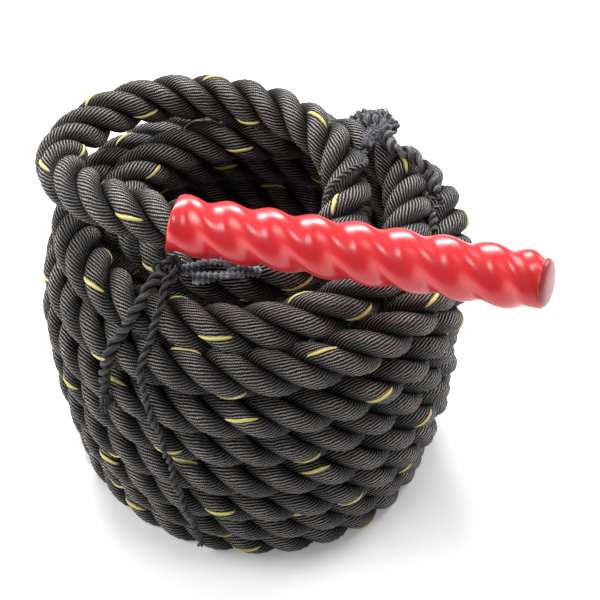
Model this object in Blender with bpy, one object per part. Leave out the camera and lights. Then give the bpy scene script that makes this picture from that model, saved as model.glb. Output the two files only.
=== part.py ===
# A three-strand battle rope, coiled for storage and held by two cord ties, with a
# lobed red grip sleeve shrunk over each end. Metres, +Z up, standing on Z = 0.
import bpy
import bmesh
from math import ceil, cos, pi, radians, sin
from mathutils import Matrix, Vector
from mathutils.bvhtree import BVHTree

for old in list(bpy.data.objects):
    bpy.data.objects.remove(old, do_unlink=True)

# The rope: its nominal size is measured over the crowns of the strands. The plain body
# that stands for it here is thinner, as the crowns of one turn nest in the next one's grooves.
ROPE_DIAMETER = 0.038
BODY_SHARE = 0.895
LAY_LENGTH = 0.093
STRANDS = 3
SOLID_GAP = 0.0003

# The coil
POINTS_PER_TURN = 24
FIRST_TURN = -0.25
LEAD_STEP = 0.024

# The grip sleeves and their end caps. The wall is measured outward from the strands' crowns.
SLEEVE_LENGTH = 0.2707
SLEEVE_WALL = 0.00275
LOBE_DEPTH = 0.0024
SLEEVE_FIT = 0.0005
SLEEVE_SIDES = 21
CAP_THICKNESS = 0.0032
CAP_SPIGOT = 0.006
CAP_DISH = 0.0007
CAP_RIM = 0.0022
CAP_EDGE = 0.0008
CAP_SETBACK = 0.0006
CAP_SIDES = 32

# The tie cords
THICK_CORD = 0.009
RUN_CORD = 0.008
THIN_CORD = 0.0055
BACK_CORD = 0.011
TAIL_CORD = 0.0075
INNER_CORD = 0.005
FRONT_KNOT_SHARE = 0.105
BACK_KNOT_SHARE = 0.079
KNOT_SPREAD_SHARE = 0.92
KNOT_RISE_SHARE = 0.92
KNOT_POINTS = 36
TUFT_LENGTH = 0.040
TUFT_WIDTH = 0.021
TUFT_HEIGHT = 0.017
SMALL_TUFT_LENGTH = 0.022
SMALL_TUFT_WIDTH = 0.012
SMALL_TUFT_HEIGHT = 0.009
TUFT_NARROW_SHARE = 0.62
TUFT_SIDES = 16
TUFT_RINGS = 9

body_diameter = ROPE_DIAMETER * BODY_SHARE
body_radius = body_diameter / 2
sleeve_radius = ROPE_DIAMETER / 2 + SLEEVE_WALL

# A thicker rope is wound wider, so the routes below are in thirty-eighths of the rope's
# diameter: on this rope, one of them is a millimetre.
ROUTE_PARTS = 38
route_part = ROPE_DIAMETER / ROUTE_PARTS

# Radius and height of the rope's centre at the left, front, right and back of each turn,
# from the bottom turn up. The last turn ends at the right. The rope climbs
# counter-clockwise as seen from above.
TURNS = (
    ((146, 14.2), (117, 13.6), (137, 15), (152, 25)),
    ((140, 50.8), (131, 50.5), (145, 54.5), (151, 64)),
    ((149, 86.2), (142, 87), (152, 92), (151, 102)),
    ((153, 121.6), (148, 124.5), (155, 129), (151, 139)),
    ((155, 156.7), (150, 162), (154, 167), (150, 177)),
    ((155, 192.4), (156, 200), (157, 208), (148, 214.5)),
    ((150, 228), (157, 237.8), (158, 247.5), (148, 250.5)),
    ((141, 262), (126, 270.4), (120, 273)),
)
# Change of radius and height over a quarter turn where the coil starts and ends
COIL_START_SLOPE = (-72, -2)
COIL_END_SLOPE = (-4, -1)

# The rope's free stretch over the top of the coil, from the right of the last turn, once
# round inside it, up, round again above it and down to the mouth of the upper handle
TOP_LEAD = (
    (112, 61, 272.5), (96, 82, 272.5), (71, 96, 272),
    (43, 102, 271.5), (15, 100, 270.5), (-14, 94, 269.5),
    (-42, 82, 268.5), (-67, 63, 268), (-86, 38, 267.5),
    (-95, 12, 267), (-80, -45, 269.5), (-54, -71, 270.5),
    (-20, -85, 272), (14, -86, 274), (41, -75, 278.5),
    (63, -51, 285), (73, -17, 291), (70, 19, 298),
    (55, 53, 303), (29, 79, 306), (-4, 96, 307),
    (-40, 105, 307), (-80, 104, 306), (-115, 87, 305),
    (-140, 58, 304), (-151, 23, 306), (-145, -12, 311),
    (-125, -43, 318), (-97, -67, 323), (-74, -80, 325),
)
TOP_HANDLE_MOUTH = (-54, -89, 325)
TOP_HANDLE_WAY = (0.262, -0.068, 0.004)

# The short stretch from the bottom turn to the lower handle, which lies behind the coil
BOTTOM_LEAD = (
    (-167, 72, 15.4), (-173, 110, 17.5), (-165, 148, 19.5),
    (-142, 178, 21.5), (-108, 194, 22.3),
)
BOTTOM_HANDLE_MOUTH = (-78, 195, 22.5)
BOTTOM_HANDLE_WAY = (1.0, 0.0, 0.0)

# Routes of the tie cords over the ropes. The rope that they lie on pushes them outward.
FRONT_KNOT_PLACE = (-58, -96, 286)
UPPER_RUN = (
    (-42, -90, 290), (-32, -91, 292), (-20, -93, 292),
    (-6, -97, 290), (6, -100, 287), (16, -102, 284),
)
LOWER_RUN = (
    (-41, -99, 283), (-30, -103, 283), (-16, -107, 283),
    (-3, -109, 283),
)
THICK_TAIL = (
    (-68, -111, 290), (-72, -122, 286), (-79, -129, 277),
    (-86, -132, 266), (-93, -134, 256), (-99, -139, 246),
    (-103, -141, 236), (-106, -140, 224), (-107, -138, 213),
    (-106, -140, 204),
)
THIN_TAIL = (
    (-58, -114, 290), (-60, -124, 288), (-62, -132, 280),
    (-66, -137, 268), (-70, -143, 257), (-74, -150, 250),
    (-77, -155, 241), (-76, -157, 228), (-74, -157, 213),
    (-71, -160, 201), (-68, -158, 187), (-66, -157, 173),
    (-64, -158, 162), (-61, -156, 146), (-59, -156, 130),
    (-57, -153, 113), (-55, -151, 98), (-52, -152, 86),
    (-49, -147, 69), (-47, -143, 54), (-46, -137, 37),
    (-45, -131, 20), (-45, -127, 8),
)
BACK_KNOT_PLACE = (143, 10, 270)
BACK_RUN = (
    (97, 104, 277), (110, 90, 272), (122, 72, 269),
    (132, 53, 267), (138, 35, 266), (141, 24, 266),
)
BACK_TAIL = ((142, -4, 265), (141, -13, 264), (139, -23, 263))
INNER_RUN = (
    (86, 46, 300), (84, 32, 302), (84, 16, 301),
    (83, 0, 299), (80, -14, 297), (76, -28, 294),
)
TUFT_PLACE = (80, 110, 292)
TUFT_TURN = radians(-38)
SMALL_TUFT_PLACE = (92, 62, 296)
SMALL_TUFT_TURN = radians(-70)
SETTLE_ROUNDS = 40
DRAW_IN_SHARE = 0.12
PROBE_SHARES = (0.0, 0.25, 0.5, 0.75, 1.0)
CORD_STEP = 0.006


def material(name, colour, roughness, coat=0.0):
    made = bpy.data.materials.new(name)
    made.use_nodes = True
    shader = made.node_tree.nodes["Principled BSDF"]
    shader.inputs["Base Color"].default_value = (*colour, 1.0)
    shader.inputs["Roughness"].default_value = roughness
    shader.inputs["Metallic"].default_value = 0.0
    shader.inputs["Coat Weight"].default_value = coat
    return made


ROPE_BLACK = material("black_braid", (0.020, 0.019, 0.020), 0.85)
GRIP_RED = material("red_sleeve", (0.85, 0.03, 0.04), 0.28, 0.5)
CAP_RED = material("red_cap", (0.62, 0.02, 0.03), 0.35, 0.4)
CORD_GREY = material("grey_cord", (0.055, 0.058, 0.068), 0.9)

holder = bpy.data.objects.new("battle_rope", None)
bpy.context.scene.collection.objects.link(holder)


def add_object(name, data, shade):
    made = bpy.data.objects.new(name, data)
    bpy.context.scene.collection.objects.link(made)
    made.parent = holder
    data.materials.append(shade)
    return made


# Smooth curves

def laid(table):
    """A table of a route, in metres."""
    if isinstance(table, tuple):
        return tuple(laid(entry) for entry in table)
    return table * route_part


def cubic(points, steps, counts, start_slope=None, end_slope=None):
    """A smooth cubic through the points, each span cut into its count of pieces."""
    last = len(points) - 1
    size = len(points[0])
    lower = [0.0] * (last + 1)
    middle = [1.0] * (last + 1)
    upper = [0.0] * (last + 1)
    right = [[0.0] * size for _ in points]
    rise = [[(points[i + 1][k] - points[i][k]) / steps[i] for k in range(size)] for i in range(last)]
    for i in range(1, last):
        lower[i] = steps[i - 1]
        middle[i] = 2 * (steps[i - 1] + steps[i])
        upper[i] = steps[i]
        right[i] = [6 * (rise[i][k] - rise[i - 1][k]) for k in range(size)]
    if start_slope is not None:
        middle[0] = 2 * steps[0]
        upper[0] = steps[0]
        right[0] = [6 * (rise[0][k] - start_slope[k]) for k in range(size)]
    if end_slope is not None:
        lower[last] = steps[-1]
        middle[last] = 2 * steps[-1]
        right[last] = [6 * (end_slope[k] - rise[-1][k]) for k in range(size)]
    for i in range(1, last + 1):
        factor = lower[i] / middle[i - 1]
        middle[i] -= factor * upper[i - 1]
        right[i] = [right[i][k] - factor * right[i - 1][k] for k in range(size)]
    bend = [None] * (last + 1)
    bend[last] = [right[last][k] / middle[last] for k in range(size)]
    for i in range(last - 1, -1, -1):
        bend[i] = [(right[i][k] - upper[i] * bend[i + 1][k]) / middle[i] for k in range(size)]
    line = []
    for i in range(last):
        h = steps[i]
        for j in range(counts[i]):
            a = h * j / counts[i]
            b = h - a
            line.append([
                bend[i][k] * b ** 3 / (6 * h) + bend[i + 1][k] * a ** 3 / (6 * h)
                + (points[i][k] / h - bend[i][k] * h / 6) * b
                + (points[i + 1][k] / h - bend[i + 1][k] * h / 6) * a
                for k in range(size)])
    line.append(list(points[last]))
    return line


def smooth_line(points, step, start_way=None, end_way=None):
    places = [Vector(p) for p in points]
    spans = [(b - a).length for a, b in zip(places, places[1:])]
    counts = [max(1, round(span / step)) for span in spans]
    return [Vector(p) for p in cubic([tuple(p) for p in places], spans, counts, start_way, end_way)]


def length_of(line):
    return sum((b - a).length for a, b in zip(line, line[1:]))


def coil_line():
    knots = [knot for turn in laid(TURNS) for knot in turn]
    spans = [1.0] * (len(knots) - 1)
    counts = [POINTS_PER_TURN // 4] * (len(knots) - 1)
    rows = cubic(knots, spans, counts, laid(COIL_START_SLOPE), laid(COIL_END_SLOPE))
    line = []
    for i, (radius, height) in enumerate(rows):
        angle = 2 * pi * (FIRST_TURN + i / POINTS_PER_TURN - 0.25)
        line.append(Vector((radius * cos(angle), radius * sin(angle), height)))
    return line


# The rope's three stretches. Each ends in a straight run one body diameter long.

coil = coil_line()
start_way = (coil[0] - coil[1]).normalized()
end_way = (coil[-1] - coil[-2]).normalized()


def lead_line(first, way, points, mouth, handle_way):
    along = Vector(handle_way).normalized()
    run = first + way * body_diameter
    line = smooth_line([run, *laid(points), laid(mouth)], LEAD_STEP, tuple(way), tuple(along))
    inside = SLEEVE_LENGTH - CAP_SPIGOT - SOLID_GAP
    return [first + way * SOLID_GAP, *line, Vector(laid(mouth)) + along * inside]


top_lead = lead_line(coil[-1], end_way, TOP_LEAD, TOP_HANDLE_MOUTH, TOP_HANDLE_WAY)
bottom_lead = lead_line(coil[0], start_way, BOTTOM_LEAD, BOTTOM_HANDLE_MOUTH, BOTTOM_HANDLE_WAY)
rope_lines = (coil, top_lead, bottom_lead)


def near_on(line, point):
    """The nearest place to a point on a line of straight pieces."""
    best = None
    for a, b in zip(line, line[1:]):
        side = b - a
        share = max(0.0, min(1.0, (point - a).dot(side) / side.length_squared))
        place = a + side * share
        away = (point - place).length
        if best is None or away < best[0]:
            best = (away, place)
    return best


def least_gap(lines, diameter):
    """The least gap of a rope to itself, past the near stretch along its own length."""
    whole = [*reversed(lines[2]), *lines[0], *lines[1]]
    fine = []
    for a, b in zip(whole, whole[1:]):
        pieces = max(1, ceil((b - a).length / (diameter / 4)))
        fine.extend(a.lerp(b, j / pieces) for j in range(pieces))
    run = [0.0]
    for a, b in zip(fine, fine[1:]):
        run.append(run[-1] + (b - a).length)
    apart = 3 * diameter
    least = None
    for i, p in enumerate(fine):
        for j in range(i + 1, len(fine)):
            if run[j] - run[i] > apart:
                away = (fine[j] - p).length
                if least is None or away < least:
                    least = away
    return least - diameter


def tube_object(name, line, diameter, resolution, shade, tilt=0.0):
    data = bpy.data.curves.new(name, "CURVE")
    data.dimensions = "3D"
    data.twist_mode = "Z_UP"
    data.bevel_depth = diameter / 2
    data.bevel_resolution = resolution
    data.use_fill_caps = True
    spline = data.splines.new("POLY")
    spline.points.add(len(line) - 1)
    for point, place in zip(spline.points, line):
        point.co = (*place, 1.0)
        point.tilt = tilt
    return add_object(name, data, shade)


def as_mesh(curve_object):
    """The same tube as a mesh, so that a cutter can work on it."""
    name = curve_object.name
    graph = bpy.context.evaluated_depsgraph_get()
    mesh = bpy.data.meshes.new_from_object(curve_object.evaluated_get(graph))
    shade = curve_object.data.materials[0]
    bpy.data.objects.remove(curve_object, do_unlink=True)
    mesh.name = name
    mesh.materials.clear()
    return add_object(name, mesh, shade)


print("rope: least gap of the body to itself %.2f mm" % (least_gap(rope_lines, body_diameter) * 1000))
print("rope: coil %.3f m, upper stretch %.3f m, lower stretch %.3f m" % tuple(
    length_of(line) for line in rope_lines))

rope_coil = as_mesh(tube_object("rope_coil", coil, body_diameter, 1, ROPE_BLACK, pi / 6))
rope_top_lead = tube_object("rope_top_lead", top_lead, body_diameter, 4, ROPE_BLACK)
rope_bottom_lead = as_mesh(tube_object("rope_bottom_lead", bottom_lead, body_diameter, 4, ROPE_BLACK))

# The floor takes a flat off the underside of the lowest turn and of the stretch beside it
reach = max(abs(value) for line in rope_lines for place in line for value in place) + ROPE_DIAMETER
floor_mesh = bpy.data.meshes.new("floor_cutter")
shape = bmesh.new()
bmesh.ops.create_cube(shape, size=1.0)
bmesh.ops.scale(shape, vec=(2 * reach, 2 * reach, ROPE_DIAMETER), verts=shape.verts)
bmesh.ops.translate(shape, vec=(0, 0, -ROPE_DIAMETER / 2), verts=shape.verts)
shape.to_mesh(floor_mesh)
shape.free()
floor_cutter = bpy.data.objects.new("floor_cutter", floor_mesh)
bpy.context.scene.collection.objects.link(floor_cutter)
floor_cutter.parent = holder
floor_cutter.hide_render = True
floor_cutter.display_type = "WIRE"
for piece in (rope_coil, rope_bottom_lead):
    cut = piece.modifiers.new("floor", "BOOLEAN")
    cut.operation = "DIFFERENCE"
    cut.solver = "EXACT"
    cut.object = floor_cutter


# The grip sleeves: a tube whose outside follows the three strands inside it, with their
# twist. Each ring of the mesh is turned one side further. Its bore is round, open at the mouth.

def sleeve_mesh(name):
    mesh = bpy.data.meshes.new(name)
    shape = bmesh.new()
    step = 2 * pi / SLEEVE_SIDES
    twist = 2 * pi * SLEEVE_LENGTH / LAY_LENGTH
    rings = round(twist / step)
    crown = sleeve_radius
    bore = body_radius + SLEEVE_FIT
    outer = []
    for i in range(rings + 1):
        share = i / rings
        ring = []
        for k in range(SLEEVE_SIDES):
            angle = k * step
            radius = crown - LOBE_DEPTH * (1 - cos(STRANDS * (angle - twist * share))) / 2
            ring.append(shape.verts.new((radius * cos(angle), radius * sin(angle), SLEEVE_LENGTH * share)))
        outer.append(ring)
    near, far = (
        [shape.verts.new((bore * cos(k * step), bore * sin(k * step), height)) for k in range(SLEEVE_SIDES)]
        for height in (0, SLEEVE_LENGTH))
    for k in range(SLEEVE_SIDES):
        n = (k + 1) % SLEEVE_SIDES
        for low, high in zip(outer, outer[1:]):
            shape.faces.new((low[k], low[n], high[n], high[k]))
        shape.faces.new((near[n], near[k], far[k], far[n]))
        shape.faces.new((near[k], near[n], outer[0][n], outer[0][k]))
        shape.faces.new((outer[-1][k], outer[-1][n], far[n], far[k]))
    shape.to_mesh(mesh)
    shape.free()
    mesh.shade_smooth()
    mesh.set_sharp_from_angle(angle=radians(50))
    return mesh


def cap_mesh(name):
    """An end cap turned from its half section: a spigot in the bore and a dished flange."""
    mesh = bpy.data.meshes.new(name)
    shape = bmesh.new()
    spigot = body_radius
    flange = sleeve_radius - CAP_SETBACK
    section = (
        (0, -CAP_SPIGOT), (spigot, -CAP_SPIGOT), (spigot, SOLID_GAP),
        (flange, SOLID_GAP), (flange, CAP_THICKNESS - CAP_EDGE),
        (flange - CAP_EDGE, CAP_THICKNESS), (flange - CAP_RIM, CAP_THICKNESS),
        (flange - CAP_RIM - CAP_DISH, CAP_THICKNESS - CAP_DISH), (0, CAP_THICKNESS - CAP_DISH),
    )
    verts = [shape.verts.new((radius, 0, height)) for radius, height in section]
    edges = [shape.edges.new(pair) for pair in zip(verts, verts[1:])]
    bmesh.ops.spin(shape, geom=[*verts, *edges], cent=(0, 0, 0), axis=(0, 0, 1), angle=2 * pi,
                   steps=CAP_SIDES, use_merge=True)
    bmesh.ops.remove_doubles(shape, verts=shape.verts, dist=SOLID_GAP / 10)
    bmesh.ops.recalc_face_normals(shape, faces=shape.faces)
    shape.to_mesh(mesh)
    shape.free()
    mesh.shade_smooth()
    mesh.set_sharp_from_angle(angle=radians(30))
    return mesh


sleeve = sleeve_mesh("grip_sleeve")
cap = cap_mesh("grip_cap")
for side, mouth, handle_way in (("top", TOP_HANDLE_MOUTH, TOP_HANDLE_WAY),
                                ("bottom", BOTTOM_HANDLE_MOUTH, BOTTOM_HANDLE_WAY)):
    along = Vector(handle_way).normalized()
    facing = along.to_track_quat("Z", "Y").to_euler()
    grip = add_object(side + "_handle_sleeve", sleeve.copy(), GRIP_RED)
    grip.location = laid(mouth)
    grip.rotation_euler = facing
    end = add_object(side + "_handle_cap", cap.copy(), CAP_RED)
    end.location = Vector(laid(mouth)) + along * SLEEVE_LENGTH
    end.rotation_euler = facing


# The tie cords

def surface_of(pieces):
    """The faces of the pieces, for measuring how far a cord lies from them."""
    bpy.context.view_layer.update()
    graph = bpy.context.evaluated_depsgraph_get()
    verts = []
    faces = []
    for piece in pieces:
        shown = piece.evaluated_get(graph)
        held = shown.to_mesh()
        first = len(verts)
        verts.extend(piece.matrix_world @ vert.co for vert in held.vertices)
        faces.extend([first + i for i in face.vertices] for face in held.polygons)
        shown.to_mesh_clear()
    return BVHTree.FromPolygons(verts, faces)


rope_surface = surface_of((rope_coil, rope_top_lead, rope_bottom_lead))


def settled(line, diameter):
    """The line pushed off the rope, then drawn in until its cord only touches the rope."""
    clear = body_radius + diameter / 2 + SOLID_GAP
    touch = diameter / 2 + SOLID_GAP
    out = []
    for place in line:
        point = Vector(place)
        for _ in range(SETTLE_ROUNDS):
            moved = False
            for rope in rope_lines:
                away, nearest = near_on(rope, point)
                if away < clear:
                    point = nearest + (point - nearest).normalized() * clear
                    moved = True
            if not moved:
                break
        for _ in range(SETTLE_ROUNDS):
            near, _, _, away = rope_surface.find_nearest(point)
            if touch < away < touch + ROPE_DIAMETER * DRAW_IN_SHARE:
                point = point + (near - point).normalized() * (away - touch) / 2
        point.z = max(point.z, touch)
        out.append(point)
    for _ in range(SETTLE_ROUNDS):
        for i in range(len(out) - 1):
            for share in PROBE_SHARES:
                probe = out[i].lerp(out[i + 1], share)
                near, _, _, away = rope_surface.find_nearest(probe)
                if away < touch:
                    push = (probe - near).normalized() * (touch - away)
                    out[i] = out[i] + push
                    out[i + 1] = out[i + 1] + push
    return out


def cord_object(name, route, diameter, resolution=2):
    line = settled(smooth_line(laid(route), CORD_STEP), diameter)
    return tube_object(name, line, diameter, resolution, CORD_GREY)


cord_object("front_tie_upper_run", UPPER_RUN, RUN_CORD)
cord_object("front_tie_lower_run", LOWER_RUN, RUN_CORD)
cord_object("front_tie_thick_tail", THICK_TAIL, THICK_CORD)
cord_object("front_tie_thin_tail", THIN_TAIL, THIN_CORD)
cord_object("back_tie_run", BACK_RUN, BACK_CORD)
cord_object("back_tie_tail", BACK_TAIL, TAIL_CORD)
cord_object("inner_tie_run", INNER_RUN, INNER_CORD)


def seated(line, reach_out, way):
    """The line moved as a whole along a way until its cord just touches the rope."""
    clear = reach_out + SOLID_GAP
    low = -ROPE_DIAMETER / 2
    high = ROPE_DIAMETER
    for _ in range(SETTLE_ROUNDS):
        shift = (low + high) / 2
        near = None
        for point in line:
            probe = point + way * shift
            place, normal, _, away = rope_surface.find_nearest(probe)
            if (probe - place).dot(normal) < 0:
                away = -away
            near = away if near is None else min(near, away)
        if near < clear:
            low = shift
        else:
            high = shift
    return [point + way * high for point in line]


def knot_object(name, place, diameter, normal, turn):
    """An overhand knot: a trefoil left open at its two ends."""
    spread = diameter * KNOT_SPREAD_SHARE
    rise = diameter * KNOT_RISE_SHARE
    frame = Vector(normal).normalized().to_track_quat("Z", "Y").to_matrix() @ Matrix.Rotation(turn, 3, "Z")
    line = []
    for i in range(KNOT_POINTS):
        t = 2 * pi * (i + 0.9) / (KNOT_POINTS + 0.8)
        local = Vector((
            spread * (sin(t) + 2 * sin(2 * t)),
            spread * (cos(t) - 2 * cos(2 * t)),
            -rise * sin(3 * t)))
        line.append(Vector(laid(place)) + frame @ local)
    line = seated(line, diameter / 2, Vector(normal).normalized())
    made = tube_object(name, line, diameter, 1, CORD_GREY)
    apart = []
    near = round(KNOT_POINTS * 0.12)
    for i, p in enumerate(line):
        for j in range(i + near, len(line)):
            apart.append((line[j] - p).length)
    print("%s: least gap of the cord to itself %.2f mm" % (name, (min(apart) - diameter) * 1000))
    return made


knot_object("front_tie_knot", FRONT_KNOT_PLACE, ROPE_DIAMETER * FRONT_KNOT_SHARE,
            (-0.2, -0.5, 1.0), radians(20))
knot_object("back_tie_knot", BACK_KNOT_PLACE, ROPE_DIAMETER * BACK_KNOT_SHARE,
            (0.7, -0.1, 1.0), radians(50))


def tuft_object(name, place, turn, length, width, height, way):
    """A frayed end: a bunch that starts as narrow as its cord and spreads."""
    mesh = bpy.data.meshes.new(name)
    shape = bmesh.new()
    frame = Matrix.Rotation(turn, 3, "Z")
    rings = []
    for i in range(TUFT_RINGS):
        share = i / (TUFT_RINGS - 1)
        swell = (TUFT_NARROW_SHARE + (1 - TUFT_NARROW_SHARE) * sin(pi * share / 2)) * (1 - share ** 6 * 0.45)
        ring = []
        for k in range(TUFT_SIDES):
            angle = 2 * pi * k / TUFT_SIDES
            wave = 1 + 0.10 * share * cos(4 * angle)
            ring.append(shape.verts.new(frame @ Vector((
                length * (share - 0.5),
                width / 2 * swell * wave * cos(angle),
                height / 2 * swell * wave * sin(angle)))))
        rings.append(ring)
    for low, high in zip(rings, rings[1:]):
        for k in range(TUFT_SIDES):
            n = (k + 1) % TUFT_SIDES
            shape.faces.new((low[k], low[n], high[n], high[k]))
    shape.faces.new(list(reversed(rings[0])))
    shape.faces.new(rings[-1])
    bmesh.ops.recalc_face_normals(shape, faces=shape.faces)
    points = [Vector(laid(place)) + vert.co for vert in shape.verts]
    moved = seated(points, 0.0, Vector(way).normalized())
    for vert, point in zip(shape.verts, moved):
        vert.co = point
    shape.to_mesh(mesh)
    shape.free()
    mesh.shade_smooth()
    return add_object(name, mesh, CORD_GREY)


tuft_object("back_tie_tuft", TUFT_PLACE, TUFT_TURN, TUFT_LENGTH, TUFT_WIDTH, TUFT_HEIGHT, (0.2, 0.2, 1.0))
tuft_object("inner_tie_tuft", SMALL_TUFT_PLACE, SMALL_TUFT_TURN, SMALL_TUFT_LENGTH, SMALL_TUFT_WIDTH,
            SMALL_TUFT_HEIGHT, (0.0, 0.0, 1.0))

# The origin goes to the middle of the footprint, on the floor
bpy.context.view_layer.update()
graph = bpy.context.evaluated_depsgraph_get()
corners = []
for piece in holder.children:
    if piece is floor_cutter:
        continue
    shown = piece.evaluated_get(graph)
    held = shown.to_mesh()
    corners.extend(piece.matrix_world @ vert.co for vert in held.vertices)
    shown.to_mesh_clear()
middle = [(min(c[k] for c in corners) + max(c[k] for c in corners)) / 2 for k in range(2)]
holder.location = (-middle[0], -middle[1], 0)
print("coil axis at x %.4f, y %.4f" % (-middle[0], -middle[1]))
bpy.context.view_layer.update()
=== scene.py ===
import math

import bmesh
import bpy
import numpy as np
from mathutils import Matrix, Vector


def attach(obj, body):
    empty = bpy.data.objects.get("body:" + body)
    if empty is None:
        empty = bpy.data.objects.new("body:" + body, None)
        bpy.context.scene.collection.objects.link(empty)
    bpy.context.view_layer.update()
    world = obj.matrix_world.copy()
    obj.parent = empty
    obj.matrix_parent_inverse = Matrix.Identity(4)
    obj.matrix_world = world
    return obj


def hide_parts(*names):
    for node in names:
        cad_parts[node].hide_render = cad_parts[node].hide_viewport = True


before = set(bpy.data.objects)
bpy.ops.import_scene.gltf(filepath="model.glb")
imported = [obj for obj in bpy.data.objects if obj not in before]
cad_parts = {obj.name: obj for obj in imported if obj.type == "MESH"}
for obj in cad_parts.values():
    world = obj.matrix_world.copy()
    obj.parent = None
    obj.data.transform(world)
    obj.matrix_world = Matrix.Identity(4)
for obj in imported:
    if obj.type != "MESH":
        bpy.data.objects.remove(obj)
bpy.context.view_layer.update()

# Sizes, in metres. BODY_DIAMETER is that of a round rope at the strands' mean height.
COIL_AXIS = (-0.0131, -0.0193, 0.0)
BODY_DIAMETER = 0.03401
LAY_LENGTH = 0.093
ROPE_STEP = 0.0045
LEAD_STEP = 0.002
LEAD_END_POINTS = 120
QUARTER_POINTS = 60

# Each of the three strands is a tube whose centre winds round the rope's centre line
STRAND_CENTRE = 0.0102
STRAND_HALF_HEIGHT = 0.0090
STRAND_HALF_WIDTH = 0.0087
STRAND_SIDES = 16
STRAND_FULLNESS = 0.9
STRAND_PHASE = 0.827

# Where turns lie on each other, PRESS_SHARE is left of what stands over PRESS_LIMIT. No cord is as
# long as NOT_PRESSED, so a press that starts there leaves it round.
PRESS_LIMIT = 0.0150
PRESS_SHARE = 0.62
PRESS_FADE = 0.05
NOT_PRESSED = 9.0
COIL_MARGIN = 0.02
FLOOR_FLAT = 0.0030
FLOOR_SOFT = 0.0028

# The braid's ribs, and the yellow yarn that runs along them
RIB_PITCH = 0.00193
RIB_STARTS = 17
TRACER_PITCH = 0.0328
TRACER_FIRST = 0.0256
TRACER_WIDTH = 0.0031
TRACER_HEIGHT = 0.0016
TRACER_REACH = math.radians(82)
TRACER_POINTS = 11

# The grips. The rope goes on inside a sleeve by SLEEVE_RUN_ON. The mouth is cut slantwise and has
# a bead. The far end closes in over the cap, and its face leans toward END_FACE.
SLEEVE_LENGTH = 0.2707
SLEEVE_DIAMETER = 0.0437
SLEEVE_WALL = 0.0013
SLEEVE_BORE = 0.0165
SLEEVE_RUN_ON = 0.2450
SLEEVE_RINGS = 200
SLEEVE_SIDES = 72
LOBE_DEPTH = 0.0034
MOUTH_SLANT = 0.0040
MOUTH_SLANT_WAY = (0.0, -0.4, 0.9)
MOUTH_SLANT_REACH = 0.03
MOUTH_BEAD = 0.0006
MOUTH_BEAD_WIDTH = 0.0040
END_CLOSING = 0.0036
END_CLOSING_WIDTH = 0.0110
END_LEAN = 0.22
END_LEAN_REACH = 0.05
END_FACE = (-0.18, -0.745, 0.643)
# The cap's half section: radius, and height along the grip's way
CAP_SIDES = 64
CAP_SECTION = (
    (0.0130, -0.0068), (0.0136, -0.0062), (0.0136, -0.0020), (0.0160, -0.0019), (0.0168, -0.0014),
    (0.0170, -0.0004), (0.0167, 0.0008), (0.0158, 0.0018), (0.0140, 0.0027), (0.0110, 0.0034),
    (0.0070, 0.0038), (0.0030, 0.0040), (0.0006, 0.0040),
)

# The tie cords
KNOBBY_DIAMETER = 0.0090
THICK_DIAMETER = 0.0094
THIN_DIAMETER = 0.0060
BACK_DIAMETER = 0.0112
END_DIAMETER = 0.0078
INNER_DIAMETER = 0.0046
PLY_SHARE = 0.255
PLY_SIDES = 8
KNOB_DEPTH = 0.28
KNOB_PITCH = 0.0040
ROUTE_STEP = 0.001
CORD_STEP = 0.0012
FINE_STEP = 0.0005
KNOT_STEPS = 126
KNOT_OPEN = 3
FIBRE_THICKNESS = 0.00055

# The rope's centre at the left, front, right and back of each turn: radius and height in
# millimetres, from the coil's axis and from the floor
TURNS = (
    ((146, 14.2), (117, 13.6), (137, 15), (152, 25)),
    ((140, 50.8), (131, 50.5), (145, 54.5), (151, 64)),
    ((149, 86.2), (142, 87), (152, 92), (151, 102)),
    ((153, 121.6), (148, 124.5), (155, 129), (151, 139)),
    ((155, 156.7), (150, 162), (154, 167), (150, 177)),
    ((155, 192.4), (156, 200), (157, 208), (148, 214.5)),
    ((150, 228), (154, 240.5), (156, 249), (148, 250.5)),
    ((141, 262), (133.5, 263.5), (122, 271.5)),
)
COIL_START_SLOPE = (-72, -2)
COIL_END_SLOPE = (-4, -1)
# Places on the rope's two free stretches, in millimetres
TOP_LEAD = (
    (112, 61, 272.5), (96, 82, 272.5), (71, 96, 272), (43, 102, 271.5), (15, 100, 270.5),
    (-15, 99, 269.5), (-49, 93, 268.5), (-79, 73, 268), (-100, 43, 267.5), (-106, 10, 267),
    (-80, -45, 269.5), (-54, -71, 270.5), (-20, -85, 272), (14, -86, 274), (41, -75, 278.5),
    (63, -51, 285), (73, -17, 291), (70, 19, 298), (55, 53, 303), (29, 79, 306), (-4, 96, 307),
    (-40, 105, 307), (-80, 104, 306), (-115, 87, 305), (-140, 58, 304), (-151, 23, 306),
    (-145, -12, 311), (-125, -43, 318), (-97, -67, 323), (-74, -80, 325),
)
TOP_MOUTH = (-54, -89, 325)
TOP_WAY = (0.262, -0.068, 0.004)
BOTTOM_LEAD = (
    (-167, 72, 15.4), (-173, 110, 17.5), (-165, 148, 19.5), (-142, 178, 21.5), (-108, 194, 22.3),
)
BOTTOM_MOUTH = (-78, 195, 22.5)
BOTTOM_WAY = (1.0, 0.0, 0.0)

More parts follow.
